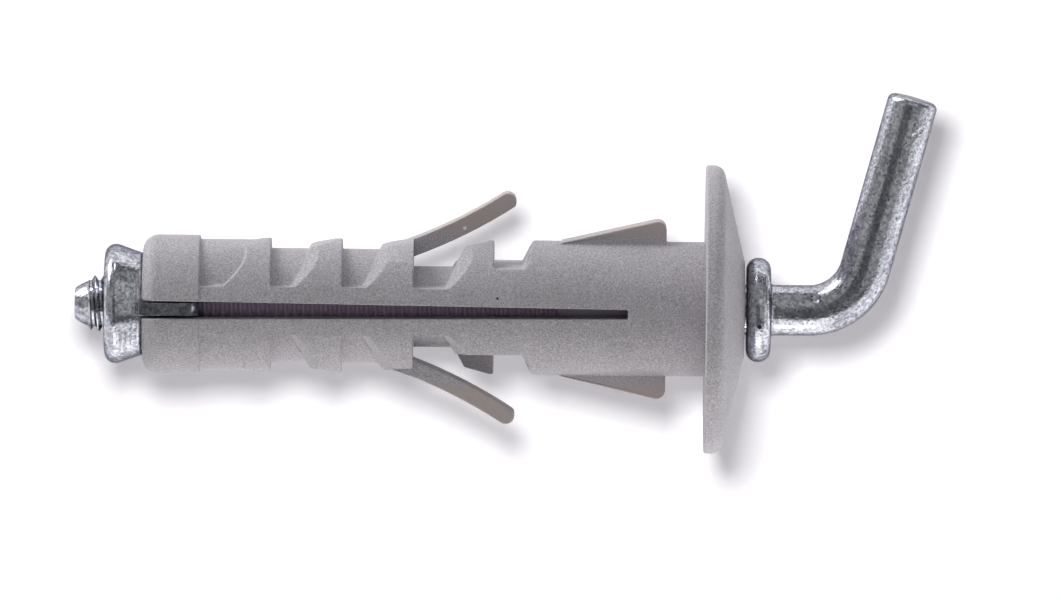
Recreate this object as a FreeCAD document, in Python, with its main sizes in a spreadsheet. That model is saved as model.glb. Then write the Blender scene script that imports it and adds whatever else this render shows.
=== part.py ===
import FreeCAD, Part
import math
import os
import Sketcher

# Hook wall plug, in millimetres. The origin is on the plug's axis in the wall's surface,
# +X points out of the wall and +Z up, along the side that the hook's arm stands on.

doc = FreeCAD.newDocument("HookWallPlug")
sheet = doc.addObject("Spreadsheet::Sheet", "Sizes")

sizes = {
    # plug: neck, legs and bores
    "plug_dia": 12.0,
    "plug_depth": 50.1,
    "seat_depth": 1.4,
    "screw_bore": 5.5,
    "nut_bore": 6.9,
    "bore_cone": 1.2,
    "mouth_dia": 9.4,
    "mouth_depth": 3.6,
    # plug: end ring
    "ring_dia": 12.4,
    "ring_width": 5.1,
    "ring_round": 1.4,
    # plug: slots
    "slot_end": 6.9,
    "slot_width": 1.66,
    "slot_end_width": 0.84,
    # plug: teeth and pockets
    "tooth_pitch": 6.33,
    "rail_width": 4.26,
    "pocket_foot": 1.8,
    "tooth_slant": 28.0,
    "crown_drop": 0.6,
    "crown_land": 0.4,
    "first_floor": 11.7,
    "floor_dia": 10.2,
    "window_foot": 2.85,
    "window_floor": 7.2,
    "last_tooth": 4.35,
    "ledge_height": 3.85,
    "ledge_foot": 2.5,
    "ledge_slant": 24.5,
    "facet_depth": 0.35,
    "facet_angle": 45.0,
    # plug: tongues and wings
    "tongue_gauge": 1.5,
    "tongue_width": 2.7,
    "tongue_bend": 46.0,
    "tongue_start": 4.45,
    "tongue_rise": 20.5,
    "tongue_turn": 12.6,
    "tongue_root": 1.7,
    "tip_slant": 0.4,
    "tip_radius": 0.79,
    "wing_gauge": 3.2,
    "wing_front": 3.5,
    "wing_length": 9.3,
    "wing_height": 2.15,
    "wing_round": 0.8,
    # rosette
    "rosette_dia": 25.7,
    "rosette_depth": 3.5,
    "rim_depth": 1.5,
    "rim_round": 1.0,
    "rosette_slope": 13.1,
    "seat_gap": 0.05,
    "rosette_bore": 5.3,
    # hook screw
    "wire_dia": 4.5,
    "thread_dia": 5.0,
    "thread_start": 56.15,
    "thread_length": 44.0,
    "tip_dia": 3.5,
    "collar_dia": 9.3,
    "collar_depth": 2.2,
    "collar_gap": 0.15,
    "collar_round": 1.05,
    "hook_reach": 13.2,
    "hook_bend": 5.2,
    "hook_lean": 15.2,
    "arm_length": 19.75,
    "arm_round": 0.6,
    # cone nut
    "nut_dia": 10.64,
    "nut_rim": 1.2,
    "nut_round": 0.95,
    "nut_standout": 3.4,
    "nut_length": 8.5,
    "nut_shank": 6.5,
    "nut_angle": 19.5,
    "nut_chamfer": 0.3,
    "thread_gap": 0.05,
    "key_width": 1.2,
    "key_dia": 10.4,
    "key_start": 2.3,
    "key_bevel": 0.6,
    # how far the nut is drawn into the plug, and the room left beyond it
    "draw_in": 5.6,
    "draw_spare": 0.6,
}

for row, (alias, value) in enumerate(sizes.items(), start=1):
    sheet.set(f"A{row}", alias)
    sheet.set(f"B{row}", str(value))
    sheet.setAlias(f"B{row}", alias)
doc.recompute()


class Size:
    # a length or an angle that knows its value and its expression in terms of the sheet
    def __init__(self, value, text):
        self.value = value
        self.text = text

    def __add__(self, other):
        other = number(other)
        return Size(self.value + other.value, f"({self.text} + {other.text})")

    def __sub__(self, other):
        other = number(other)
        return Size(self.value - other.value, f"({self.text} - {other.text})")

    def __mul__(self, other):
        other = number(other)
        return Size(self.value * other.value, f"({self.text} * {other.text})")

    def __truediv__(self, other):
        other = number(other)
        return Size(self.value / other.value, f"({self.text} / {other.text})")

    def __neg__(self):
        return Size(-self.value, f"(-1 * {self.text})")


def number(value):
    return value if isinstance(value, Size) else Size(float(value), f"{float(value):.9g}")


def cell(alias):
    return Size(float(sheet.get(alias)), f"Sizes.{alias}")


def sine(angle):
    return Size(math.sin(math.radians(angle.value)), f"sin({angle.text} * 1 deg)")


def cosine(angle):
    return Size(math.cos(math.radians(angle.value)), f"cos({angle.text} * 1 deg)")


def tangent(angle):
    return Size(math.tan(math.radians(angle.value)), f"tan({angle.text} * 1 deg)")


def root(size):
    return Size(math.sqrt(size.value), f"sqrt({size.text})")


def newBody(name):
    body = doc.addObject("PartDesign::Body", name)
    body.Label = name
    return body


def plane(body, role):
    return next(item for item in body.Origin.OriginFeatures if item.Role == role)


def newSketch(body, name, role="XZ_Plane"):
    sketch = body.newObject("Sketcher::SketchObject", name)
    sketch.AttachmentSupport = [(plane(body, role), "")]
    sketch.MapMode = "FlatFace"
    return sketch


def pin(sketch, kind, geometry, end, size):
    # ties one coordinate of a sketch point to its expression
    index = sketch.addConstraint(Sketcher.Constraint(kind, -1, 1, geometry, end, size.value))
    sketch.setExpression(f"Constraints[{index}]", size.text)


def arcEdge(start, end, radius):
    # an arc of the given radius from start to end: it bulges to the left of the way there
    # where the radius is positive, and to the right where it is negative
    chord = end - start
    middle = (start + end) * 0.5
    side = FreeCAD.Vector(-chord.y, chord.x, 0).normalize()
    if radius < 0:
        side = side * -1
    reach = math.sqrt(max(radius * radius - chord.Length ** 2 / 4, 0))
    top = middle + side * (abs(radius) - reach)
    return Part.Arc(start, top, end)


def arcMiddle(curve):
    return curve.value((curve.FirstParameter + curve.LastParameter) / 2)


def draw(sketch, points, closed=True):
    # points: (x, y) for a straight line to that corner, (x, y, radius) for an arc to it
    corners = [FreeCAD.Vector(number(p[0]).value, number(p[1]).value, 0) for p in points]
    count = len(points)
    ends = []
    last = count if closed else count - 1
    for index in range(last):
        target = (index + 1) % count
        start, end = corners[index], corners[target]
        if len(points[target]) == 3:
            radius = number(points[target][2])
            curve = arcEdge(start, end, radius.value)
            geometry = sketch.addGeometry(curve, False)
            turn = (end - start).cross(arcMiddle(curve) - start).z
            # the sketcher stores every arc anticlockwise, so a clockwise one starts at its end
            ends.append((geometry, 1, 2) if turn < 0 else (geometry, 2, 1))
            size = radius if radius.value > 0 else -radius
            held = sketch.addConstraint(Sketcher.Constraint("Radius", geometry, size.value))
            sketch.setExpression(f"Constraints[{held}]", size.text)
        else:
            geometry = sketch.addGeometry(Part.LineSegment(start, end), False)
            ends.append((geometry, 1, 2))
    for index in range(len(ends)):
        following = (index + 1) % len(ends)
        if closed or following:
            here, there = ends[index], ends[following]
            sketch.addConstraint(Sketcher.Constraint("Coincident", here[0], here[2], there[0], there[1]))
    for index in range(count):
        if index < len(ends):
            geometry, end = ends[index][0], ends[index][1]
        else:
            geometry, end = ends[-1][0], ends[-1][2]
        pin(sketch, "DistanceX", geometry, end, number(points[index][0]))
        pin(sketch, "DistanceY", geometry, end, number(points[index][1]))


def revolve(body, name, points, kind="PartDesign::Revolution"):
    sketch = newSketch(body, name + "_outline")
    draw(sketch, points)
    feature = body.newObject(kind, name)
    feature.Profile = sketch
    feature.ReferenceAxis = (sketch, ["H_Axis"])
    feature.Angle = 360
    doc.recompute()
    return feature


def extrude(body, name, points, length, role="XZ_Plane", both=False, reverse=False, kind="PartDesign::Pad"):
    sketch = newSketch(body, name + "_outline", role)
    draw(sketch, points)
    feature = body.newObject(kind, name)
    feature.Profile = sketch
    feature.setExpression("Length", length.text)
    feature.Midplane = both
    feature.Reversed = reverse
    doc.recompute()
    return feature


def slantedCut(body, name, points, start, length, slope):
    # a pocket that starts at a height and is cut along a slanted line: slope is its run along
    # X and Y for each millimetre of height, upwards from a positive start and downwards otherwise
    sketch = newSketch(body, name + "_outline", "XY_Plane")
    sketch.setExpression("AttachmentOffset.Base.z", start.text)
    draw(sketch, points)
    pocket = body.newObject("PartDesign::Pocket", name)
    pocket.Profile = sketch
    pocket.UseCustomVector = True
    pocket.AlongSketchNormal = True
    side = 1 if start.value > 0 else -1
    pocket.Direction = FreeCAD.Vector(slope[0].value, slope[1].value, side)
    pocket.setExpression("Direction.x", slope[0].text)
    pocket.setExpression("Direction.y", slope[1].text)
    pocket.setExpression("Length", length.text)
    doc.recompute()
    return pocket


def halfTurn(body, name, features):
    # repeats features half a turn about the plug's axis
    pattern = body.newObject("PartDesign::PolarPattern", name)
    pattern.Originals = features
    pattern.Axis = (plane(body, "X_Axis"), [""])
    pattern.Angle = 360
    pattern.Occurrences = 2
    body.Tip = pattern
    doc.recompute()
    return pattern


def roundEdges(body, name, base, picked, radius):
    names = [f"Edge{i}" for i, edge in enumerate(base.Shape.Edges, start=1) if picked(edge)]
    if not names:
        raise RuntimeError(f"{name}: no edge found")
    fillet = body.newObject("PartDesign::Fillet", name)
    fillet.Base = (base, names)
    fillet.setExpression("Radius", radius.text)
    doc.recompute()
    return fillet


def near(a, b):
    return abs(a - b) < 0.01


# cutting outlines reach this far past what they cut, and joined ones this far into it
overlap = 1.0

plugDepth = cell("plug_depth")
plugRadius = cell("plug_dia") / 2
ringEnd = cell("ring_width") - plugDepth
seatDepth = cell("seat_depth")
screwBore = cell("screw_bore") / 2
pitch = cell("tooth_pitch")
rail = cell("rail_width") / 2
ledge = cell("ledge_height")
toothSlope = tangent(cell("tooth_slant"))
ledgeSlope = tangent(cell("ledge_slant"))


def lastPocket():
    # where the pocket behind the window starts and ends, along the plug
    crown = plugRadius - cell("crown_drop")
    rise = (crown - rail) * toothSlope
    windowStart = ringEnd + pitch * 3
    windowFoot = windowStart + cell("window_foot")
    lastFront = windowFoot + rise
    lastRear = windowFoot + cell("last_tooth")
    return windowStart, windowFoot, lastFront, lastRear, lastRear + cell("ledge_foot")


def toothedSide():
    # side view of the front half: rails beside the slot, teeth and pockets above and below
    over = cell("ring_dia") / 2 + overlap
    crown = plugRadius - cell("crown_drop")
    windowStart, windowFoot, lastFront, lastRear, ledgeEnd = lastPocket()
    neckStart = ledgeEnd + (over - ledge) * ledgeSlope

    def toothTop(front, rear, side):
        # slanted front, then a ramp that reaches the full radius just before the rear face
        rampLength = rear - front - cell("crown_land")
        lift = plugRadius + cell("crown_land") * cell("crown_drop") / rampLength
        return [(front, crown * side), (rear, lift * side)]

    def pocketsAndTeeth(side):
        points = [(ringEnd, over * side)]
        for step in range(3):
            left = ringEnd + pitch * step
            foot = left + cell("pocket_foot")
            points += [(left, rail * side), (foot, rail * side)]
            points += toothTop(foot + (crown - rail) * toothSlope, left + pitch, side)
        return points + [(windowStart, rail * side), (windowFoot, rail * side)]

    upper = pocketsAndTeeth(1) + toothTop(lastFront, lastRear, 1)
    upper += [(lastRear, ledge), (ledgeEnd, ledge), (neckStart, over), (seatDepth, over)]
    lower = pocketsAndTeeth(-1) + [(windowFoot + (ledge - rail) * toothSlope, -ledge)]
    lower += [(ledgeEnd, -ledge), (neckStart, -over), (seatDepth, -over)]
    return [(-plugDepth, -over), (-plugDepth, over)] + upper + lower[::-1]


def plugCore():
    # what shows between the teeth: the floors of the pockets, stepped along the legs
    firstFloor = cell("first_floor") / 2
    floor = cell("floor_dia") / 2
    window = cell("window_floor") / 2
    innerEnd = -cell("slot_end")
    return [
        (ringEnd - overlap, screwBore / 2),
        (ringEnd - overlap, firstFloor),
        (ringEnd + pitch, firstFloor),
        (ringEnd + pitch, floor),
        (ringEnd + pitch * 3, floor),
        (ringEnd + pitch * 3, window),
        (innerEnd, window),
        (innerEnd, screwBore / 2),
    ]


def plugBores():
    # the mouth for the nut's cone, room for its shank, then the screw's bore
    nutBore = cell("nut_bore") / 2
    mouthEnd = cell("mouth_depth") - plugDepth
    drawnIn = cell("nut_length") + cell("draw_in") - cell("nut_standout") - plugDepth
    nutRoom = drawnIn + cell("draw_spare")
    return [
        (-plugDepth - overlap, 0),
        (-plugDepth - overlap, cell("mouth_dia") / 2),
        (-plugDepth, cell("mouth_dia") / 2),
        (mouthEnd, nutBore),
        (nutRoom, nutBore),
        (nutRoom + cell("bore_cone"), screwBore),
        (seatDepth + overlap, screwBore),
        (seatDepth + overlap, 0),
    ]


def toothFacets(body):
    # flats on the front corners of the teeth and of the neck: each starts just under the outer
    # surface where its slanted wall leaves the rail or ledge, and widens towards the crown
    windowFoot, ledgeEnd = lastPocket()[1], lastPocket()[4]
    reach = cell("ring_dia") / 2
    lead = tangent(cell("facet_angle"))
    corners = []
    for step in range(3):
        foot = ringEnd + pitch * step + cell("pocket_foot")
        corners += [(f"tooth_{step + 1}", foot, rail, toothSlope)]
    corners += [("tooth_4", windowFoot, rail, toothSlope)]
    corners += [("neck", ledgeEnd, ledge, ledgeSlope)]
    cuts = []
    for name, foot, height, slope in corners:
        start = root(plugRadius * plugRadius - height * height) - cell("facet_depth")
        outline = [
            (foot, -start),
            (foot - cell("facet_depth"), -(start + reach)),
            (foot + reach * lead, -(start + reach)),
        ]
        for side, where in ((1, "upper"), (-1, "lower")):
            cuts += [slantedCut(body, f"{name}_{where}_facet", outline, height * side, reach, (slope, lead))]
    return cuts


def makePlugSleeve():
    envelope = newBody("plug_envelope")
    ring = cell("ring_dia") / 2
    lead = cell("ring_round")
    revolve(envelope, "outer_shape", [
        (-plugDepth, 0),
        (-plugDepth, ring - lead),
        (lead - plugDepth, ring, lead),
        (ringEnd, ring),
        (ringEnd, plugRadius),
        (seatDepth, plugRadius),
        (seatDepth, 0),
    ])

    body = newBody("plug_sleeve")
    reach = cell("ring_dia") / 2 + overlap
    front = extrude(body, "front_half", toothedSide(), reach)
    halfTurn(body, "both_halves", [front])
    common = body.newObject("PartDesign::Boolean", "turned_to_size")
    common.Type = "Common"
    common.addObjects([envelope])
    body.Tip = common
    doc.recompute()
    halfTurn(body, "all_facets", toothFacets(body))
    revolve(body, "pocket_floors", plugCore())

    # springy tongues: the upper one on the far side, the lower one half a turn away
    tongue = extrude(body, "tongue", tongueSide(), cell("tongue_width"), reverse=True)
    halfTurn(body, "tongues", [tongue])
    wing = extrude(body, "wing", wingSide(), cell("wing_gauge"), both=True)
    wings = halfTurn(body, "wings", [wing])
    wingRear = -cell("wing_front")
    wingTop = plugRadius + cell("wing_height")

    def wingCorner(edge):
        centre = edge.CenterOfMass
        return near(centre.x, wingRear.value) and near(abs(centre.z), wingTop.value)

    rounded = roundEdges(body, "wing_corners", wings, wingCorner, cell("wing_round"))
    body.Tip = rounded
    revolve(body, "bores", plugBores(), "PartDesign::Groove")
    extrude(body, "slot", slotSide(), reach * 2, both=True, kind="PartDesign::Pocket")
    return body


def tongueSide():
    # two arcs about one centre, from inside the third tooth to the rounded tip
    bend = cell("tongue_bend")
    gauge = cell("tongue_gauge")
    rise = cell("tongue_rise")
    rootX = ringEnd + pitch * 3
    centreX = rootX - bend * sine(rise)
    centreZ = cell("tongue_start") + bend * cosine(rise)
    hidden = rise - cell("tongue_root")
    end = rise + cell("tongue_turn")

    def at(radius, angle):
        return centreX + radius * sine(angle), centreZ - radius * cosine(angle)

    outer = bend - gauge
    return [
        (*at(outer, hidden), outer),
        at(bend, hidden),
        (*at(bend, end), -bend),
        (*at(outer, end - cell("tip_slant")), -cell("tip_radius")),
    ]


def wingSide():
    rear = -cell("wing_front")
    front = rear - cell("wing_length")
    inside = plugRadius - overlap
    return [(front, inside), (front, plugRadius), (rear, plugRadius + cell("wing_height")), (rear, inside)]


def slotSide():
    # the legs stand slightly apart, so the slot narrows towards its end
    wide = cell("slot_width") / 2
    narrow = cell("slot_end_width") / 2
    end = -cell("slot_end")
    mouth = -plugDepth - overlap
    flare = (wide - narrow) / (plugDepth - cell("slot_end")) * overlap
    return [(mouth, -(wide + flare)), (end, -narrow), (end, narrow), (mouth, wide + flare)]


def makeRosette():
    body = newBody("rosette")
    seat = plugRadius + cell("seat_gap")
    bore = cell("rosette_bore") / 2
    rim = cell("rosette_dia") / 2
    front = cell("rosette_depth")
    slope = cell("rosette_slope")
    edge = cell("rim_depth")
    roundness = cell("rim_round")
    # the rounded edge meets the rim and the cone as a tangent arc
    toCorner = roundness * tangent((number(90) - slope) / 2)
    revolve(body, "cone", [
        (0, seat),
        (0, rim),
        (edge - toCorner, rim),
        (edge + toCorner * sine(slope), rim - toCorner * cosine(slope), roundness),
        (front, rim - (front - edge) / tangent(slope)),
        (front, bore),
        (seatDepth, bore),
        (seatDepth, seat),
    ])
    return body


def makeHookScrew():
    body = newBody("hook_screw")
    wire = cell("wire_dia") / 2
    thread = cell("thread_dia") / 2
    start = -cell("thread_start")
    threadEnd = start + cell("thread_length")
    tip = cell("tip_dia") / 2
    collarBack = cell("rosette_depth") + cell("collar_gap")
    collarFront = collarBack + cell("collar_depth")
    collar = cell("collar_dia") / 2
    roundness = cell("collar_round")
    lean = cell("hook_lean")
    reach = cell("hook_reach")
    bend = cell("hook_bend")
    armLength = cell("arm_length")
    # the arm leans outwards, so the wire turns by less than a right angle
    turned = number(90) - lean
    toCorner = bend * tangent(turned / 2)

    profile = newSketch(body, "wire_section", "YZ_Plane")
    circle = profile.addGeometry(Part.Circle(FreeCAD.Vector(0, 0, 0), FreeCAD.Vector(0, 0, 1), wire.value), False)
    profile.addConstraint(Sketcher.Constraint("Coincident", circle, 3, -1, 1))
    held = profile.addConstraint(Sketcher.Constraint("Radius", circle, wire.value))
    profile.setExpression(f"Constraints[{held}]", wire.text)
    path = newSketch(body, "wire_path")
    draw(path, [
        (0, 0),
        (reach - toCorner, 0),
        (reach + toCorner * sine(lean), toCorner * cosine(lean), -bend),
        (reach + armLength * sine(lean), armLength * cosine(lean)),
    ], closed=False)
    pipe = body.newObject("PartDesign::AdditivePipe", "bent_wire")
    pipe.Profile = profile
    pipe.Spine = (path, ["Edge1", "Edge2", "Edge3"])
    doc.recompute()

    def armEnd(edge):
        centre = edge.CenterOfMass
        return near(centre.z, (armLength * cosine(lean)).value)

    roundEdges(body, "arm_end", pipe, armEnd, cell("arm_round"))
    revolve(body, "shank", [
        (start, 0),
        (start, tip),
        (start + (thread - tip), thread),
        (threadEnd, thread),
        (threadEnd + (thread - wire), wire),
        (collarBack, wire),
        (collarBack, collar - roundness),
        (collarBack + roundness, collar, roundness),
        (collarFront - roundness, collar),
        (collarFront, collar - roundness, roundness),
        (collarFront, 0),
    ])
    return body


def makeConeNut():
    body = newBody("cone_nut")
    back = -plugDepth - cell("nut_standout")
    front = back + cell("nut_length")
    rim = cell("nut_dia") / 2
    bore = cell("thread_dia") / 2 + cell("thread_gap")
    shank = cell("nut_shank") / 2
    coneEnd = back + cell("nut_rim") + (rim - shank) / tangent(cell("nut_angle"))
    roundness = cell("nut_round")
    chamfer = cell("nut_chamfer")
    revolve(body, "turned", [
        (back, bore),
        (back, rim - roundness),
        (back + roundness, rim, roundness),
        (back + cell("nut_rim"), rim),
        (coneEnd, shank),
        (front - chamfer, shank),
        (front, shank - chamfer),
        (front, bore),
    ])
    # keys: they run in the slots and keep the nut from turning with the screw
    keyStart = back + cell("key_start")
    keyTop = cell("key_dia") / 2
    bevel = cell("key_bevel")
    inside = (bore + shank) / 2
    key = extrude(body, "key", [
        (keyStart, inside),
        (keyStart, keyTop),
        (front - bevel, keyTop),
        (front, keyTop - bevel),
        (front, inside),
    ], cell("key_width"), role="XY_Plane", both=True)
    halfTurn(body, "keys", [key])
    return body


def checkAndExport(bodies):
    doc.recompute()
    for item in doc.Objects:
        if "Invalid" in item.State or "Error" in item.State:
            raise RuntimeError(f"{item.Name}: {item.State}")
    os.makedirs("parts", exist_ok=True)
    for body in bodies:
        name, shape = body.Label, body.Shape
        if shape.isNull() or not shape.isValid():
            raise RuntimeError(f"{name}: no valid shape")
        shape.exportStep(f"parts/{name}.step")
        box = shape.BoundBox
        print(name, len(shape.Solids), "solids", round(shape.Volume, 2), "mm3",
              [round(v, 2) for v in (box.XMin, box.YMin, box.ZMin, box.XMax, box.YMax, box.ZMax)])


checkAndExport([makePlugSleeve(), makeRosette(), makeHookScrew(), makeConeNut()])
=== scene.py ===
import bmesh
import bpy
import math
from mathutils import Matrix, Vector


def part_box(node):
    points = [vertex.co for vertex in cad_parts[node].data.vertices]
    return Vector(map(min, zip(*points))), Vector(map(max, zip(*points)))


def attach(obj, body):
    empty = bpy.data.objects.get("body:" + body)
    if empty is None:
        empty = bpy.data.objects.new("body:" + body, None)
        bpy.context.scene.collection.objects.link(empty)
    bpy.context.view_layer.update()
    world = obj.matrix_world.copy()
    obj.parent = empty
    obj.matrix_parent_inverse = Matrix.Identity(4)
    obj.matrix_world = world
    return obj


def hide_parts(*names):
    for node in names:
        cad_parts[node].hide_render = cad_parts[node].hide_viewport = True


# Hook wall plug: nylon plug and cover disc, plated wire hook and cone nut.
# Metres. The plug's axis is X, the wall's surface is at x = 0 and the hook's arm points up.

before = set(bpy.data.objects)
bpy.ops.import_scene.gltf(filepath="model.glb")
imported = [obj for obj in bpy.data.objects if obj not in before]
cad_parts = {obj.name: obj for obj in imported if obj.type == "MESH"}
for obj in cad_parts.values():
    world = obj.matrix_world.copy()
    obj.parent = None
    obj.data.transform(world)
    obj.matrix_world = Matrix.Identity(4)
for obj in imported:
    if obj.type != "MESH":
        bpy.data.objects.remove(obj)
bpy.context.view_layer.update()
mm = 0.001
# vertices closer than weld are one, and what is within near of a place is at it
weld = 0.0005 * mm
near = 0.01 * mm
print("frame loaded:", ", ".join(sorted(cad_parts)))


# mesh tools

def onlySelect(*pieces):
    bpy.ops.object.select_all(action="DESELECT")
    for piece in pieces:
        piece.select_set(True)
    bpy.context.view_layer.objects.active = pieces[0]


def startEdit():
    bpy.ops.object.mode_set(mode="EDIT")


def endEdit():
    bpy.ops.object.mode_set(mode="OBJECT")


def pick(kind, test):
    # in edit mode: selects the verts, edges or faces that pass the test
    modes = {"verts": "VERT", "edges": "EDGE", "faces": "FACE"}
    bpy.ops.mesh.select_mode(type=modes[kind])
    bpy.ops.mesh.select_all(action="DESELECT")
    mesh = bpy.context.edit_object.data
    edited = bmesh.from_edit_mesh(mesh)
    for item in getattr(edited, kind):
        if test(item):
            item.select_set(True)
    edited.select_flush_mode()
    bmesh.update_edit_mesh(mesh)


def applyPlace(piece):
    onlySelect(piece)
    bpy.ops.object.transform_apply(location=True, rotation=True, scale=True)


def closeUp(piece):
    # merges what lies together and turns every face outwards
    onlySelect(piece)
    startEdit()
    bpy.ops.mesh.select_all(action="SELECT")
    bpy.ops.mesh.remove_doubles(threshold=weld)
    bpy.ops.mesh.select_all(action="SELECT")
    bpy.ops.mesh.normals_make_consistent(inside=False)
    endEdit()


def applyModifier(piece, kind, **values):
    onlySelect(piece)
    modifier = piece.modifiers.new(kind.lower(), kind)
    for name, value in values.items():
        setattr(modifier, name, value)
    bpy.ops.object.modifier_apply(modifier=modifier.name)


def softenEdges(piece, width, segments, sharpest):
    applyModifier(piece, "BEVEL", width=width, segments=segments, limit_method="ANGLE", angle_limit=sharpest,
                  miter_outer="MITER_ARC", use_clamp_overlap=False)


def shade(piece, smoothUnder):
    onlySelect(piece)
    bpy.ops.object.shade_smooth_by_angle(angle=smoothUnder)
    applyModifier(piece, "WEIGHTED_NORMAL", keep_sharp=True)


def fromAxis(vert):
    return math.hypot(vert.co.y, vert.co.z)


def ringAt(x, radius):
    # tests an edge for lying on the ring round the axis at x
    xSlack, radiusSlack = 0.002 * mm, 0.004 * mm

    def test(edge):
        return all(abs(vert.co.x - x) <= xSlack and abs(fromAxis(vert) - radius) <= radiusSlack for vert in edge.verts)
    return test


def turn(name, stations, segments, hollow=False):
    # a ring of edges pulled along the axis and scaled from one (x, radius) to the next, as on a lathe
    x, radius = stations[0]
    fill = "NOTHING" if hollow else "NGON"
    bpy.ops.object.select_all(action="DESELECT")
    bpy.ops.mesh.primitive_circle_add(vertices=segments, radius=radius, fill_type=fill,
                                      location=(x, 0, 0), rotation=(0, math.pi / 2, 0))
    piece = bpy.context.object
    piece.name = name
    applyPlace(piece)
    startEdit()
    bpy.ops.mesh.select_mode(type="EDGE" if hollow else "FACE")
    bpy.ops.mesh.select_all(action="SELECT")
    for nextX, nextRadius in stations[1:]:
        bpy.ops.mesh.extrude_region_move(TRANSFORM_OT_translate={"value": (nextX - x, 0, 0)})
        factor = nextRadius / radius
        bpy.ops.transform.resize(value=(1, factor, factor), center_override=(nextX, 0, 0))
        x, radius = nextX, nextRadius
    endEdit()
    closeUp(piece)
    return piece


def roundRing(piece, x, radius, offset, segments):
    onlySelect(piece)
    startEdit()
    pick("edges", ringAt(x, radius))
    bpy.ops.mesh.bevel(offset=offset, segments=segments, affect="EDGES")
    endEdit()


# the nylon plug: the CAD mesh, merged, with the small radii that a mould leaves on its edges
plug = {
    "edgeRound": 0.13 * mm,
    "edgeSegments": 3,
    "sharpest": math.radians(20),
    "flatWithin": math.radians(0.4),
    "smoothUnder": math.radians(40),
    # (x from, x to, height from): the first tooth's flats, the tongues' roots and the wings' points stay crisp
    "crisp": [
        (-43.6 * mm, -39.4 * mm, 2.3 * mm),
        (-28.3 * mm, -25.8 * mm, 3.6 * mm),
        (-13.6 * mm, -12.0 * mm, 5.7 * mm),
    ],
    # the floor of the first pocket, flattened towards the rails
    "ringEnd": -45.0 * mm,
    "toothPitch": 6.33 * mm,
    "firstFloor": 5.85 * mm,
    "flatten": 0.92,
}


def onFirstFloor(vert):
    along = vert.co.x - plug["ringEnd"]
    return -near < along < plug["toothPitch"] - near and abs(fromAxis(vert) - plug["firstFloor"]) < 2 * near


def edgeToRound(edge):
    if edge.calc_face_angle(0) < plug["sharpest"]:
        return False
    middle = (edge.verts[0].co + edge.verts[1].co) / 2
    for start, end, height in plug["crisp"]:
        if start < middle.x < end and abs(middle.z) > height:
            return False
    return True


def makePlug():
    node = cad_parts["plug_sleeve"]
    piece = bpy.data.objects.new("nylonPlug", node.data.copy())
    bpy.context.scene.collection.objects.link(piece)
    onlySelect(piece)
    bpy.ops.mesh.customdata_custom_splitnormals_clear()
    startEdit()
    bpy.ops.mesh.select_all(action="SELECT")
    bpy.ops.mesh.remove_doubles(threshold=weld)
    bpy.ops.mesh.select_all(action="SELECT")
    bpy.ops.mesh.dissolve_limited(angle_limit=plug["flatWithin"])
    pick("verts", onFirstFloor)
    bpy.ops.transform.resize(value=(1, plug["flatten"], 1), center_override=(0, 0, 0))
    endEdit()
    closeUp(piece)
    startEdit()
    pick("edges", edgeToRound)
    bpy.ops.transform.edge_bevelweight(value=1)
    endEdit()
    applyModifier(piece, "BEVEL", width=plug["edgeRound"], segments=plug["edgeSegments"], limit_method="WEIGHT",
                  miter_outer="MITER_ARC", use_clamp_overlap=False)
    shade(piece, plug["smoothUnder"])
    return piece


# the cover disc: a shallow cone with a rounded rim and a seat for the plug's end at its back
disc = {
    "rimDepth": 1.5 * mm,
    "rimRound": 1.0 * mm,
    "slope": math.radians(13.1),
    "seatRadius": 6.05 * mm,
    "seatDepth": 1.4 * mm,
    "boreRadius": 2.65 * mm,
    "edgeRound": 0.16 * mm,
    "sides": 128,
    "rimSegments": 10,
    "edgeSegments": 4,
    "sharpest": math.radians(50),
    "smoothUnder": math.radians(35),
}


def makeDisc():
    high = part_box("rosette")[1]
    front, rim = high.x, high.z
    frontRadius = rim - (front - disc["rimDepth"]) / math.tan(disc["slope"])
    piece = turn("coverDisc", [
        (0, disc["seatRadius"]),
        (0, rim),
        (disc["rimDepth"], rim),
        (front, frontRadius),
        (front, disc["boreRadius"]),
        (disc["seatDepth"], disc["boreRadius"]),
        (disc["seatDepth"], disc["seatRadius"]),
        (0, disc["seatRadius"]),
    ], disc["sides"], hollow=True)
    toCorner = disc["rimRound"] * math.tan((math.pi / 2 - disc["slope"]) / 2)
    roundRing(piece, disc["rimDepth"], rim, toCorner, disc["rimSegments"])
    softenEdges(piece, disc["edgeRound"], disc["edgeSegments"], disc["sharpest"])
    shade(piece, disc["smoothUnder"])
    return piece


# the hook: one wire with a rolled thread, an upset collar and a bent arm
hook = {
    "threadLength": 44.0 * mm,
    "pitch": 0.8 * mm,
    "threadRadius": 2.49 * mm,
    "coreRadius": 2.04 * mm,
    "rootRadius": 2.06 * mm,
    "threadSteps": 48,
    "blankSides": 80,
    "blankSlope": 1.5,
    # (distance from the end, radius): the blunt cone that leads the thread into the nut
    "tipShape": [
        (0, 1.2 * mm),
        (0.06 * mm, 1.38 * mm),
        (0.3 * mm, 1.56 * mm),
        (0.75 * mm, 1.82 * mm),
        (1.2 * mm, 2.0 * mm),
    ],
    "plainTip": 0.9 * mm,
    # where the first crest shows on top, and the whole turns that are wound before it
    "firstCrest": 1.78 * mm,
    "turnsBefore": 3,
    "wireRadius": 2.25 * mm,
    "collarRadius": 4.65 * mm,
    "collarBack": 3.65 * mm,
    "collarFront": 5.85 * mm,
    "collarRound": 1.05 * mm,
    "reach": 13.2 * mm,
    "bendRadius": 5.2 * mm,
    "lean": math.radians(15.2),
    "armLength": 19.75 * mm,
    "armRound": 0.6 * mm,
    "rootRound": 0.3 * mm,
    "sides": 64,
    "bendSteps": 22,
    "armSegments": 6,
    "collarSegments": 10,
    "rootSegments": 4,
    "smoothUnder": math.radians(32),
}


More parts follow.
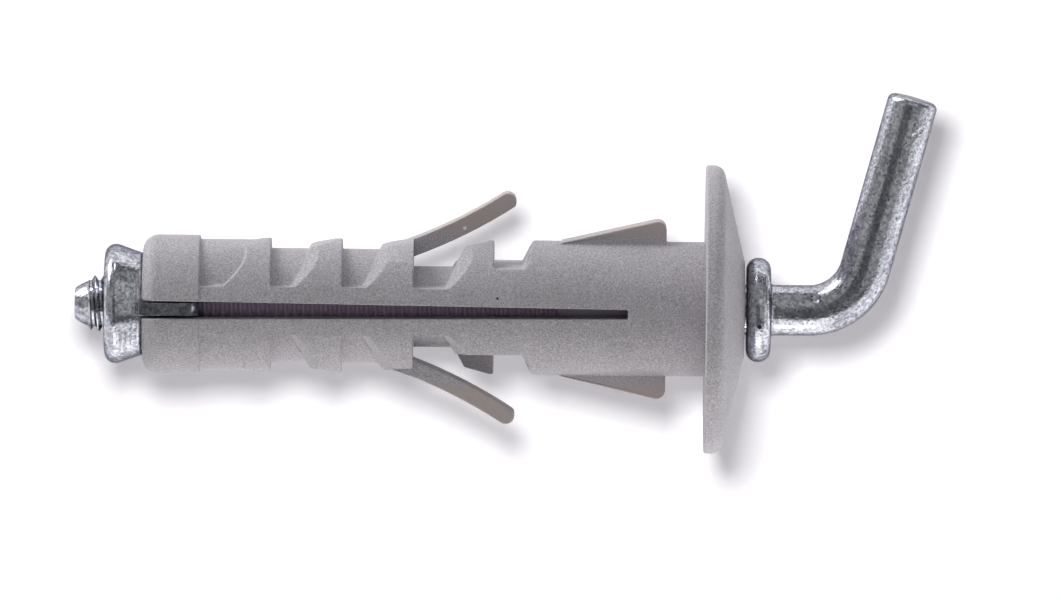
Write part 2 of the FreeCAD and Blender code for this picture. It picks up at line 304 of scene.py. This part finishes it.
def makeThread(tip, end):
    # one pitch of the M5 thread's section, wound once round the axis, repeated, and cut to a chamfered blank
    crest = hook["pitch"] / 8  # these two shares are every metric thread's
    root = hook["pitch"] / 4
    flank = (hook["pitch"] - crest - root) / 2
    depth = hook["threadRadius"] - hook["rootRadius"]
    blankStart = tip + hook["plainTip"]
    start = tip + hook["firstCrest"] - (hook["turnsBefore"] + 0.5) * hook["pitch"]
    turns = math.ceil((end - start) / hook["pitch"]) + 2
    bpy.ops.object.select_all(action="DESELECT")
    bpy.ops.mesh.primitive_plane_add(size=crest, location=(0, 0, 0))
    piece = bpy.context.object
    piece.name = "thread"
    startEdit()
    bpy.ops.mesh.select_mode(type="VERT")
    bpy.ops.mesh.select_all(action="SELECT")
    bpy.ops.mesh.merge(type="CENTER")
    bpy.ops.transform.translate(value=(start + hook["pitch"], 0, hook["rootRadius"]))
    steps = [(root / 2, 0), (flank, depth), (crest, 0), (flank, -depth), (root / 2, 0)]
    for along, out in steps:
        bpy.ops.mesh.extrude_region_move(TRANSFORM_OT_translate={"value": (-along, 0, out)})
    bpy.ops.mesh.select_all(action="SELECT")
    bpy.ops.mesh.screw(steps=hook["threadSteps"], turns=1, center=(0, 0, 0), axis=(1, 0, 0))
    endEdit()
    applyModifier(piece, "ARRAY", count=turns, use_relative_offset=False, use_constant_offset=True,
                  constant_offset_displace=(hook["pitch"], 0, 0))
    closeUp(piece)
    startEdit()
    for x, side in ((blankStart - hook["pitch"] / 4, -1), (end + hook["pitch"] / 4, 1)):
        bpy.ops.mesh.select_all(action="SELECT")
        bpy.ops.mesh.bisect(plane_co=(x, 0, 0), plane_no=(side, 0, 0), use_fill=True, clear_outer=True,
                            threshold=weld)
    endEdit()
    closeUp(piece)
    blank = turn("threadBlank", [
        (blankStart, hook["rootRadius"] - depth),
        (blankStart + hook["blankSlope"] * depth, hook["threadRadius"]),
        (end - depth, hook["threadRadius"]),
        (end, hook["rootRadius"]),
    ], hook["blankSides"])
    applyModifier(piece, "BOOLEAN", operation="INTERSECT", object=blank, solver="MANIFOLD")
    bpy.data.objects.remove(blank)
    return piece


def makeHook():
    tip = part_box("hook_screw")[0].x
    threadEnd = tip + hook["threadLength"]
    wire = hook["wireRadius"]
    core = hook["coreRadius"]
    piece = turn("wireHook", [(tip + along, radius) for along, radius in hook["tipShape"]] + [
        (tip + 2 * hook["plainTip"], core),
        (threadEnd - (wire - core), core),
        (threadEnd, wire),
        (hook["collarBack"], wire),
        (hook["collarBack"], hook["collarRadius"]),
        (hook["collarFront"], hook["collarRadius"]),
        (hook["collarFront"], wire),
    ], hook["sides"])
    turned = math.pi / 2 - hook["lean"]
    toCorner = hook["bendRadius"] * math.tan(turned / 2)
    bendStart = hook["reach"] - toCorner
    along = Vector((math.sin(hook["lean"]), 0, math.cos(hook["lean"])))
    armEnd = Vector((hook["reach"], 0, 0)) + along * hook["armLength"]
    onlySelect(piece)
    startEdit()
    # the wire's end face, ahead of the collar
    pick("faces", lambda face: face.normal.x > 0.9 and face.calc_center_median().x > hook["collarFront"] - near
         and len(face.verts) > 4)
    bpy.ops.mesh.extrude_region_move(TRANSFORM_OT_translate={"value": (bendStart - hook["collarFront"], 0, 0)})
    bpy.ops.mesh.spin(steps=hook["bendSteps"], angle=turned, center=(bendStart, 0, hook["bendRadius"]), axis=(0, 1, 0))
    bpy.ops.mesh.extrude_region_move(TRANSFORM_OT_translate={"value": along * (hook["armLength"] - toCorner)})
    pick("edges", lambda edge: all(abs((vert.co - armEnd).dot(along)) < near for vert in edge.verts))
    bpy.ops.mesh.bevel(offset=hook["armRound"], segments=hook["armSegments"], affect="EDGES")
    endEdit()
    closeUp(piece)
    for x in (hook["collarFront"], hook["collarBack"]):
        roundRing(piece, x, hook["collarRadius"], hook["collarRound"], hook["collarSegments"])
    roundRing(piece, hook["collarFront"], wire, hook["rootRound"], hook["rootSegments"])
    thread = makeThread(tip, threadEnd - hook["pitch"])
    applyModifier(piece, "BOOLEAN", operation="UNION", object=thread, solver="MANIFOLD")
    bpy.data.objects.remove(thread)
    closeUp(piece)
    shade(piece, hook["smoothUnder"])
    return piece


# the cone nut: turned, with two keys that run in the plug's slots
nut = {
    "rimWidth": 1.2 * mm,
    "rimRound": 0.95 * mm,
    "shankRadius": 3.25 * mm,
    "slope": math.radians(19.5),
    "chamfer": 0.3 * mm,
    "boreRadius": 2.55 * mm,
    "keyStart": 3.1 * mm,
    "keyWidth": 1.2 * mm,
    "keyRadius": 5.2 * mm,
    "keyBevel": 0.6 * mm,
    "edgeRound": 0.1 * mm,
    "sides": 96,
    "rimSegments": 8,
    "edgeSegments": 2,
    "sharpest": math.radians(30),
    "smoothUnder": math.radians(35),
}


def makeKey(back, front, side):
    inside = (nut["boreRadius"] + nut["shankRadius"]) / 2
    start = back + nut["keyStart"]
    length = front - start
    height = nut["keyRadius"] - inside
    bpy.ops.object.select_all(action="DESELECT")
    bpy.ops.mesh.primitive_cube_add(size=1, location=(start + length / 2, side * (inside + height / 2), 0))
    key = bpy.context.object
    key.scale = (length, height, nut["keyWidth"])
    applyPlace(key)
    startEdit()
    pick("edges", lambda edge: all(vert.co.x > front - near and side * vert.co.y > nut["keyRadius"] - near
                                   for vert in edge.verts))
    bpy.ops.mesh.bevel(offset=nut["keyBevel"], segments=1, affect="EDGES")
    endEdit()
    softenEdges(key, nut["edgeRound"], nut["edgeSegments"], nut["sharpest"])
    return key


def makeNut():
    low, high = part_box("cone_nut")
    back, front, rim = low.x, high.x, high.z
    coneEnd = back + nut["rimWidth"] + (rim - nut["shankRadius"]) / math.tan(nut["slope"])
    piece = turn("coneNut", [
        (back, nut["boreRadius"]),
        (back, rim),
        (back + nut["rimWidth"], rim),
        (coneEnd, nut["shankRadius"]),
        (front - nut["chamfer"], nut["shankRadius"]),
        (front, nut["shankRadius"] - nut["chamfer"]),
        (front, nut["boreRadius"]),
        (back, nut["boreRadius"]),
    ], nut["sides"], hollow=True)
    roundRing(piece, back, rim, nut["rimRound"], nut["rimSegments"])
    softenEdges(piece, nut["edgeRound"], nut["edgeSegments"], nut["sharpest"])
    for side in (-1, 1):
        key = makeKey(back, front, side)
        applyModifier(piece, "BOOLEAN", operation="UNION", object=key, solver="MANIFOLD")
        bpy.data.objects.remove(key)
    closeUp(piece)
    shade(piece, nut["smoothUnder"])
    return piece


# shader tools

def addNode(tree, kind, **inputs):
    node = tree.nodes.new("ShaderNode" + kind)
    for name, value in inputs.items():
        node.inputs[name].default_value = value
    return node


def addMath(tree, operation, first, second=None):
    node = tree.nodes.new("ShaderNodeMath")
    node.operation = operation
    for index, value in enumerate((first, second)):
        if isinstance(value, (int, float)):
            node.inputs[index].default_value = value
        elif value is not None:
            tree.links.new(value, node.inputs[index])
    return node.outputs[0]


def addWeighted(tree, *parts):
    # the sum of (value, weight) pairs
    total = None
    for value, weight in parts:
        share = addMath(tree, "MULTIPLY", value, weight)
        total = share if total is None else addMath(tree, "ADD", total, share)
    return total


def addRange(tree, value, fromLow, fromHigh, toLow, toHigh):
    node = tree.nodes.new("ShaderNodeMapRange")
    node.clamp = True
    for name, number in (("From Min", fromLow), ("From Max", fromHigh), ("To Min", toLow), ("To Max", toHigh)):
        node.inputs[name].default_value = number
    tree.links.new(value, node.inputs["Value"])
    return node.outputs[0]


def stretchNoise(tree, value):
    # noise keeps to the middle of its range, which is spread over 0 to 1 here
    return addRange(tree, value, 0.3, 0.7, 0.0, 1.0)


def addMix(tree, factor, first, second, blend="MIX"):
    node = tree.nodes.new("ShaderNodeMix")
    node.data_type = "RGBA"
    node.blend_type = blend
    colours = [socket for socket in node.inputs if socket.type == "RGBA"]
    for socket, value in ((node.inputs[0], factor), (colours[0], first), (colours[1], second)):
        if isinstance(value, (int, float, tuple)):
            socket.default_value = value
        else:
            tree.links.new(value, socket)
    return next(socket for socket in node.outputs if socket.type == "RGBA")


def newGroup(name, inputs, outputs):
    group = bpy.data.node_groups.new(name, "ShaderNodeTree")
    for label, kind, value in inputs:
        socket = group.interface.new_socket(name=label, in_out="INPUT", socket_type="NodeSocket" + kind)
        if value is not None:
            socket.default_value = value
    for label, kind in outputs:
        group.interface.new_socket(name=label, in_out="OUTPUT", socket_type="NodeSocket" + kind)
    return group, group.nodes.new("NodeGroupInput"), group.nodes.new("NodeGroupOutput")


def useGroup(tree, group, vector, **values):
    node = tree.nodes.new("ShaderNodeGroup")
    node.node_tree = group
    tree.links.new(vector, node.inputs["Vector"])
    for name, value in values.items():
        node.inputs[name].default_value = value
    return node


# spark-eroded mould surface: a fine even grain, and the soft clouds that cooling leaves
mould = {
    "grainScale": 7500.0,
    "grainDetail": 2.0,
    "grainRoughness": 0.6,
    "grainHeight": 0.8,
    "cloudScale": 220.0,
    "cloudDetail": 4.0,
    "cloudHeight": 0.2,
}


def makeMouldGrain():
    group, source, result = newGroup("mouldGrain", [
        ("Vector", "Vector", None),
        ("Grain Scale", "Float", mould["grainScale"]),
        ("Cloud Scale", "Float", mould["cloudScale"]),
    ], [("Grain", "Float"), ("Cloud", "Float"), ("Height", "Float")])
    fine = addNode(group, "TexNoise", Detail=mould["grainDetail"], Roughness=mould["grainRoughness"])
    group.links.new(source.outputs["Vector"], fine.inputs["Vector"])
    group.links.new(source.outputs["Grain Scale"], fine.inputs["Scale"])
    cloud = addNode(group, "TexNoise", Detail=mould["cloudDetail"])
    group.links.new(source.outputs["Vector"], cloud.inputs["Vector"])
    group.links.new(source.outputs["Cloud Scale"], cloud.inputs["Scale"])
    grain = stretchNoise(group, fine.outputs[0])
    soft = stretchNoise(group, cloud.outputs[0])
    height = addWeighted(group, (grain, mould["grainHeight"]), (soft, mould["cloudHeight"]))
    group.links.new(grain, result.inputs["Grain"])
    group.links.new(soft, result.inputs["Cloud"])
    group.links.new(height, result.inputs["Height"])
    return group


def makeSpot():
    # a mask that is 1 inside a small sphere about Centre, up to a share of its Radius, and fades out at Radius
    full = 0.55
    group, source, result = newGroup("spot", [
        ("Vector", "Vector", None),
        ("Centre", "Vector", (0.0, 0.0, 0.0)),
        ("Radius", "Float", 0.1 * mm),
    ], [("Mask", "Float")])
    distance = group.nodes.new("ShaderNodeVectorMath")
    distance.operation = "DISTANCE"
    group.links.new(source.outputs["Vector"], distance.inputs[0])
    group.links.new(source.outputs["Centre"], distance.inputs[1])
    share = addMath(group, "DIVIDE", distance.outputs["Value"], source.outputs["Radius"])
    group.links.new(addRange(group, share, full, 1.0, 1.0, 0.0), result.inputs["Mask"])
    return group


# plated steel: small bright and dull crystals over a slow cloudy change, with a few pits
plating = {
    "crystalScale": 4500.0,
    "cloudScale": 420.0,
    "cloudDetail": 5.0,
    "cloudHeight": 0.5,
    # the fine noise: its scale as a share of the crystals', and the part of it that is full and bare of pits
    "fineScale": 0.8,
    "fineDetail": 3.0,
    "fineRoughness": 0.65,
    "fineHeight": 0.8,
    "pitted": (0.34, 0.44),
    "pitDepth": 0.25,
}


def makeZincSkin():
    group, source, result = newGroup("zincSkin", [
        ("Vector", "Vector", None),
        ("Crystal Scale", "Float", plating["crystalScale"]),
        ("Cloud Scale", "Float", plating["cloudScale"]),
    ], [("Crystals", "Float"), ("Cloud", "Float"), ("Pits", "Float"), ("Height", "Float")])
    cells = addNode(group, "TexVoronoi")
    group.links.new(source.outputs["Vector"], cells.inputs["Vector"])
    group.links.new(source.outputs["Crystal Scale"], cells.inputs["Scale"])
    tone = addNode(group, "SeparateColor")
    group.links.new(cells.outputs["Color"], tone.inputs[0])
    cloud = addNode(group, "TexNoise", Detail=plating["cloudDetail"])
    group.links.new(source.outputs["Vector"], cloud.inputs["Vector"])
    group.links.new(source.outputs["Cloud Scale"], cloud.inputs["Scale"])
    soft = stretchNoise(group, cloud.outputs[0])
    fine = addNode(group, "TexNoise", Detail=plating["fineDetail"], Roughness=plating["fineRoughness"])
    group.links.new(source.outputs["Vector"], fine.inputs["Vector"])
    fineScale = addMath(group, "MULTIPLY", source.outputs["Crystal Scale"], plating["fineScale"])
    group.links.new(fineScale, fine.inputs["Scale"])
    full, bare = plating["pitted"]
    pits = addRange(group, fine.outputs[0], full, bare, 1.0, 0.0)
    height = addWeighted(group, (fine.outputs[0], plating["fineHeight"]), (pits, -plating["pitDepth"]),
                         (soft, plating["cloudHeight"]))
    group.links.new(tone.outputs[0], result.inputs["Crystals"])
    group.links.new(soft, result.inputs["Cloud"])
    group.links.new(pits, result.inputs["Pits"])
    group.links.new(height, result.inputs["Height"])
    return group


mouldGrain = makeMouldGrain()
spot = makeSpot()
zincSkin = makeZincSkin()


def startMaterial(name):
    material = bpy.data.materials.new(name)
    material.use_nodes = True
    tree = material.node_tree
    shader = tree.nodes["Principled BSDF"]
    place = tree.nodes.new("ShaderNodeTexCoord").outputs["Object"]
    return material, tree, shader, place


def addBump(tree, shader, height, distance):
    bump = addNode(tree, "Bump", Distance=distance, Strength=1.0)
    tree.links.new(height, bump.inputs["Height"])
    tree.links.new(bump.outputs[0], shader.inputs["Normal"])


def addSpots(tree, place, colour, spots):
    for centre, radius, tone in spots:
        mark = useGroup(tree, spot, place, Centre=centre, Radius=radius)
        colour = addMix(tree, mark.outputs["Mask"], colour, tone)
    return colour


# grey nylon: painted shade makes the wings and tongues darker and browner where they stand out above and below the
# body, and the disc is a little lighter
nylon = {
    "colour": (0.65, 0.622, 0.66, 1.0),
    "deep": (0.285, 0.271, 0.296, 1.0),
    # painted shade: the darker, browner tone of the wings and tongues, and the heights off the axis over which it
    # comes in
    "paintedShade": (0.52, 0.455, 0.435, 1.0),
    "paintedShadeFrom": 6.1 * mm,
    "paintedShadeTo": 7.2 * mm,
    "roughness": (0.5, 0.66),
    "clouds": (0.94, 1.04),
    "discGain": 1.14,
    "grainHeight": 0.03 * mm,
    # (place, radius, tone): small specks in the surface
    "specks": [
        ((-18.5 * mm, -5.88 * mm, 1.35 * mm), 0.16 * mm, (0.03, 0.03, 0.035, 1.0)),
        ((-29.15 * mm, -5.95 * mm, 0.35 * mm), 0.1 * mm, (0.05, 0.05, 0.05, 1.0)),
        ((-3.6 * mm, -5.2 * mm, -3.1 * mm), 0.09 * mm, (0.8, 0.8, 0.8, 1.0)),
        ((-21.48 * mm, 0, 7.06 * mm), 0.2 * mm, (1.0, 1.0, 1.0, 1.0)),
    ],
}


def makeNylon(name, paintedShadeOnWings=False, specks=(), gain=1.0):
    material, tree, shader, place = startMaterial(name)
    grain = useGroup(tree, mouldGrain, place)
    colour = addMix(tree, grain.outputs["Grain"], nylon["deep"], nylon["colour"])
    low, high = nylon["clouds"]
    clouds = addRange(tree, grain.outputs["Cloud"], 0.0, 1.0, low * gain, high * gain)
    tone = tree.nodes.new("ShaderNodeCombineColor")
    for socket in tone.inputs:
        tree.links.new(clouds, socket)
    colour = addMix(tree, 1.0, colour, tone.outputs[0], "MULTIPLY")
    # painted shade: darker and browner where the wings and tongues stand out above and below the body
    if paintedShadeOnWings:
        split = tree.nodes.new("ShaderNodeSeparateXYZ")
        tree.links.new(place, split.inputs[0])
        height = addMath(tree, "ABSOLUTE", split.outputs["Z"])
        paintedShade = addRange(tree, height, nylon["paintedShadeFrom"], nylon["paintedShadeTo"], 0.0, 1.0)
        colour = addMix(tree, paintedShade, colour, nylon["paintedShade"])
    colour = addSpots(tree, place, colour, specks)
    tree.links.new(colour, shader.inputs["Base Color"])
    low, high = nylon["roughness"]
    tree.links.new(addRange(tree, grain.outputs["Grain"], 0.0, 1.0, high, low), shader.inputs["Roughness"])
    addBump(tree, shader, grain.outputs["Height"], nylon["grainHeight"])
    return material


# bright zinc plating
pitTone = (0.05, 0.05, 0.07, 1.0)
zinc = {
    "bright": (0.84, 0.86, 0.91, 1.0),
    "dull": (0.225, 0.235, 0.28, 1.0),
    "edge": (0.24, 0.24, 0.26, 1.0),
    # how far the crystals and the clouds each set the tone, and how far the pits darken it
    "crystals": 0.65,
    "clouds": 0.35,
    "pits": 0.7,
    "roughness": (0.05, 0.17),
    "skinHeight": 0.024 * mm,
    # fine rings left by the lathe tool, over a flatter skin
    "ringPitch": 0.45 * mm,
    "ringHeight": 0.16,
    "turnedSkin": 0.5,
    # the thread inside the plug is duller than its end, and its lighter, purplish colour is painted light that makes
    # it show lighter through the slots
    "dullFrom": -46 * mm,
    "dullTo": -4 * mm,
    "dullFade": 1.5 * mm,
    "dullRoughness": 0.6,
    "paintedSlotLight": (0.9, 0.78, 0.92, 1.0),
    # (place, radius, tone): a bite mark on the wire and a pit in the collar
    "marks": [
        ((10.2 * mm, -1.94 * mm, 1.0 * mm), 0.2 * mm, pitTone),
        ((9.5 * mm, -1.77 * mm, 1.45 * mm), 0.14 * mm, pitTone),
        ((4.81 * mm, -4.51 * mm, -1.11 * mm), 0.24 * mm, pitTone),
    ],
    # (place, radius, depth as a share of the skin's height): dents at the bite mark and on the arm
    "dents": [
        ((9.8 * mm, -1.87 * mm, 1.25 * mm), 0.5 * mm, 5.0),
        ((18.4 * mm, -1.95 * mm, 15.9 * mm), 0.3 * mm, 3.0),
        ((18.9 * mm, -1.75 * mm, 16.3 * mm), 0.3 * mm, 3.0),
    ],
}


def makeZinc(name, latheTurned=False, marks=()):
    material, tree, shader, place = startMaterial(name)
    shader.inputs["Metallic"].default_value = 1.0
    shader.inputs["Specular Tint"].default_value = zinc["edge"]
    skin = useGroup(tree, zincSkin, place)
    share = addWeighted(tree, (skin.outputs["Crystals"], zinc["crystals"]), (skin.outputs["Cloud"], zinc["clouds"]))
    colour = addMix(tree, share, zinc["dull"], zinc["bright"])
    colour = addMix(tree, addMath(tree, "MULTIPLY", skin.outputs["Pits"], zinc["pits"]), colour, pitTone)
    colour = addSpots(tree, place, colour, marks)
    low, high = zinc["roughness"]
    roughness = addRange(tree, share, 0.0, 1.0, high, low)
    height = skin.outputs["Height"]
    split = tree.nodes.new("ShaderNodeSeparateXYZ")
    tree.links.new(place, split.inputs[0])
    if latheTurned:
        wave = addMath(tree, "SINE", addMath(tree, "MULTIPLY", split.outputs["X"], 2 * math.pi / zinc["ringPitch"]))
        height = addWeighted(tree, (height, zinc["turnedSkin"]), (wave, zinc["ringHeight"]))
    else:
        # inside the plug the thread is rougher, and its lighter, purplish colour is painted light for what shows
        # through the slots
        start, end, fade = zinc["dullFrom"], zinc["dullTo"], zinc["dullFade"]
        dull = addMath(tree, "MINIMUM", addRange(tree, split.outputs["X"], start, start + fade, 0.0, 1.0),
                       addRange(tree, split.outputs["X"], end - fade, end, 1.0, 0.0))
        colour = addMix(tree, dull, colour, zinc["paintedSlotLight"])
        roughness = addMath(tree, "MAXIMUM", roughness, addMath(tree, "MULTIPLY", dull, zinc["dullRoughness"]))
        for centre, radius, depth in zinc["dents"]:
            dent = useGroup(tree, spot, place, Centre=centre, Radius=radius)
            height = addMath(tree, "SUBTRACT", height, addMath(tree, "MULTIPLY", dent.outputs["Mask"], depth))
    tree.links.new(colour, shader.inputs["Base Color"])
    tree.links.new(roughness, shader.inputs["Roughness"])
    addBump(tree, shader, height, zinc["skinHeight"])
    return material


def finishPiece(piece, material, nodeName, body):
    piece.data.materials.clear()
    piece.data.materials.append(material)
    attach(piece, body)
    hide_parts(nodeName)
    print("made", piece.name)
    return piece


pieces = [
    finishPiece(makePlug(), makeNylon("greyNylon", paintedShadeOnWings=True, specks=nylon["specks"]),
                "plug_sleeve", "anchor"),
    finishPiece(makeDisc(), makeNylon("discNylon", gain=nylon["discGain"]),
                "rosette", "anchor"),
    finishPiece(makeHook(), makeZinc("zincWire", marks=zinc["marks"]),
                "hook_screw", "hook"),
    finishPiece(makeNut(), makeZinc("zincNut", latheTurned=True),
                "cone_nut", "nut"),
]


# stage: a white sheet that hangs close behind the object and curves forward into the floor
sheet = {
    "behind": 13.1 * mm,
    "floor": -75 * mm,
    "curve": 22 * mm,
    "halfWidth": 400 * mm,
    "height": 300 * mm,
    "forward": 100 * mm,
    "curveSteps": 16,
    "smoothUnder": math.radians(40),
    "white": (0.86, 0.855, 0.865, 1.0),
    "roughness": 0.9,
    "gloss": 0.1,
    # the glow of its own that the camera and mirrors see
    "lift": 0.23,
    "liftTone": (0.98, 0.93, 1.0, 1.0),
}


def makeSheet():
    bpy.ops.object.select_all(action="DESELECT")
    bpy.ops.mesh.primitive_plane_add(size=1, location=(0, -sheet["forward"] / 2, sheet["floor"]))
    piece = bpy.context.object
    piece.name = "sheet"
    piece.scale = (sheet["halfWidth"] * 2, sheet["forward"], 1)
    applyPlace(piece)
    bendFrom = sheet["behind"] - sheet["curve"]
    startEdit()
    pick("verts", lambda vert: vert.co.y > -1 * mm)
    bpy.ops.transform.translate(value=(0, bendFrom, 0))
    pick("edges", lambda edge: all(vert.co.y > bendFrom - 1 * mm for vert in edge.verts))
    bpy.ops.mesh.spin(steps=sheet["curveSteps"], angle=math.pi / 2, axis=(-1, 0, 0),
                      center=(0, bendFrom, sheet["floor"] + sheet["curve"]))
    bpy.ops.mesh.extrude_region_move(TRANSFORM_OT_translate={"value": (0, 0, sheet["height"])})
    bpy.ops.mesh.select_all(action="SELECT")
    bpy.ops.mesh.remove_doubles(threshold=near)
    endEdit()
    shade(piece, sheet["smoothUnder"])
    material, tree, shader = startMaterial("whiteSheet")[:3]
    shader.inputs["Base Color"].default_value = sheet["white"]
    shader.inputs["Roughness"].default_value = sheet["roughness"]
    shader.inputs["Specular IOR Level"].default_value = sheet["gloss"]
    rays = tree.nodes.new("ShaderNodeLightPath")
    seen = addMath(tree, "MAXIMUM", rays.outputs["Is Camera Ray"], rays.outputs["Is Glossy Ray"])
    seen = addMath(tree, "MAXIMUM", seen, rays.outputs["Is Transmission Ray"])
    glow = addNode(tree, "Emission", Color=sheet["liftTone"])
    tree.links.new(addMath(tree, "MULTIPLY", seen, sheet["lift"]), glow.inputs["Strength"])
    lifted = tree.nodes.new("ShaderNodeAddShader")
    tree.links.new(shader.outputs[0], lifted.inputs[0])
    tree.links.new(glow.outputs[0], lifted.inputs[1])
    # from behind, the sheet isn't there
    clear = tree.nodes.new("ShaderNodeBsdfTransparent")
    sided = tree.nodes.new("ShaderNodeMixShader")
    tree.links.new(tree.nodes.new("ShaderNodeNewGeometry").outputs["Backfacing"], sided.inputs[0])
    tree.links.new(lifted.outputs[0], sided.inputs[1])
    tree.links.new(clear.outputs[0], sided.inputs[2])
    tree.links.new(sided.outputs[0], tree.nodes["Material Output"].inputs["Surface"])
    piece.data.materials.append(material)
    return piece


backdrop = makeSheet()
print("made the stage")


# light: soft boxes round the object, and one of its own for the sheet, from the upper left, for a short soft shadow
aim = Vector((-12 * mm, 0, 2 * mm))
cool, plain, warm = (0.96, 0.98, 1.0), (1.0, 1.0, 1.0), (1.0, 0.985, 0.93)
lamps = {
    # turned: degrees round the line of sight, up from the right; off: degrees off it; power in watts
    "key": {"turned": 135, "off": 90, "width": 200 * mm, "power": 0.87, "tone": plain},
    "below": {"turned": 270, "off": 76, "width": 60 * mm, "power": 0.13, "tone": warm},
    "belowPanel": {"turned": 270, "off": 100, "width": 300 * mm, "power": 0.14, "tone": warm},
    "frontBelow": {"turned": 270, "off": 62, "width": 300 * mm, "power": 0.16, "tone": warm},
    "leftPanel": {"turned": 180, "off": 60, "width": 500 * mm, "power": 0.22, "tone": plain},
    "rightPanel": {"turned": 20, "off": 43, "width": 500 * mm, "power": 0.19, "tone": plain},
    "sidePanel": {"turned": 340, "off": 85, "width": 500 * mm, "power": 0.335, "tone": plain},
    "topPanel": {"turned": 90, "off": 50, "width": 500 * mm, "power": 0.16, "tone": cool},
}
boxes = {
    "distance": 400 * mm,
    "sheetWidth": 80 * mm,
    "sheetPower": 1.65,
    "sheetPlace": Vector((-50 * mm, -430 * mm, 110 * mm)),
    # a small one, closer, over the nut and the hook's tip
    "nearWidth": 40 * mm,
    "nearPower": 0.028,
    "nearPlace": Vector((-58 * mm, -25 * mm, 170 * mm)),
    "air": 0.13,
    "airTone": (0.98, 0.98, 1.0, 1.0),
}


def newSet(name, members):
    group = bpy.data.collections.new(name)
    for member in members:
        group.objects.link(member)
    return group


def addLamp(name, place, width, power, tone, lit):
    light = bpy.data.lights.new(name, "AREA")
    light.size = width
    light.energy = power
    light.color = tone
    lamp = bpy.data.objects.new(name, light)
    bpy.context.scene.collection.objects.link(lamp)
    lamp.location = place
    lamp.rotation_euler = (aim - lamp.location).to_track_quat("-Z", "Y").to_euler()
    lamp.visible_camera = False
    lamp.light_linking.receiver_collection = lit
    lamp.light_linking.blocker_collection = product


product = newSet("product", pieces)
for lampName, values in lamps.items():
    turned, off = math.radians(values["turned"]), math.radians(values["off"])
    towards = Vector((math.sin(off) * math.cos(turned), -math.cos(off), math.sin(off) * math.sin(turned)))
    addLamp(lampName, aim + towards * boxes["distance"], values["width"], values["power"], values["tone"], product)
addLamp("nearLamp", boxes["nearPlace"], boxes["nearWidth"], boxes["nearPower"], plain, product)
addLamp("sheetLamp", boxes["sheetPlace"], boxes["sheetWidth"], boxes["sheetPower"], plain,
        newSet("backdrop", [backdrop]))


def makeWorld():
    # grey air all round; where the camera looks past the sheet it is white
    world = bpy.data.worlds.new("studio")
    bpy.context.scene.world = world
    world.use_nodes = True
    tree = world.node_tree
    air = tree.nodes["Background"]
    air.inputs["Color"].default_value = boxes["airTone"]
    air.inputs["Strength"].default_value = boxes["air"]
    white = addNode(tree, "Background", Color=(1, 1, 1, 1), Strength=1.0)
    rays = tree.nodes.new("ShaderNodeLightPath")
    mixed = tree.nodes.new("ShaderNodeMixShader")
    tree.links.new(rays.outputs["Is Camera Ray"], mixed.inputs[0])
    tree.links.new(air.outputs[0], mixed.inputs[1])
    tree.links.new(white.outputs[0], mixed.inputs[2])
    tree.links.new(mixed.outputs[0], tree.nodes["World Output"].inputs["Surface"])


makeWorld()


# camera: far off, looking down a little, with the picture turned by half a degree
photo = {
    "width": 1061,
    "height": 600,
    "pixelsPerMetre": 11220,
    # the plug's axis passes this point and falls by so many rows a column
    "axisColumn": 80,
    "axisRow": 303,
    "axisFall": 0.0102,
    "wallColumn": 705,
    "distance": 1.3,
    "above": math.radians(5.4),
    "sensorWidth": 36,
    "clip": (0.1, 20),
}


def makeCamera():
    data = bpy.data.cameras.new("camera")
    camera = bpy.data.objects.new("camera", data)
    bpy.context.scene.collection.objects.link(camera)
    bpy.context.scene.camera = camera
    view = Vector((0, math.cos(photo["above"]), -math.sin(photo["above"])))
    side = Vector((1, 0, 0))
    up = side.cross(view)
    roll = math.atan(photo["axisFall"])
    right = side * math.cos(roll) + up * math.sin(roll)
    top = up * math.cos(roll) - side * math.sin(roll)
    # the point on the plug's axis plane that shows in the middle of the picture
    middleColumn, middleRow = photo["width"] / 2, photo["height"] / 2
    wallRow = photo["axisRow"] + photo["axisFall"] * (photo["wallColumn"] - photo["axisColumn"])
    offset = right * (middleColumn - photo["wallColumn"]) - top * (middleRow - wallRow)
    target = offset / photo["pixelsPerMetre"]
    camera.matrix_world = Matrix.Translation(target - view * photo["distance"]) @ Matrix((
        (right.x, top.x, -view.x, 0),
        (right.y, top.y, -view.y, 0),
        (right.z, top.z, -view.z, 0),
        (0, 0, 0, 1),
    ))
    data.sensor_width = photo["sensorWidth"]
    data.lens = photo["sensorWidth"] * photo["distance"] * photo["pixelsPerMetre"] / photo["width"]
    data.clip_start, data.clip_end = photo["clip"]


makeCamera()

scene = bpy.context.scene
scene.view_settings.view_transform = "Standard"

print("stage, light and camera set")
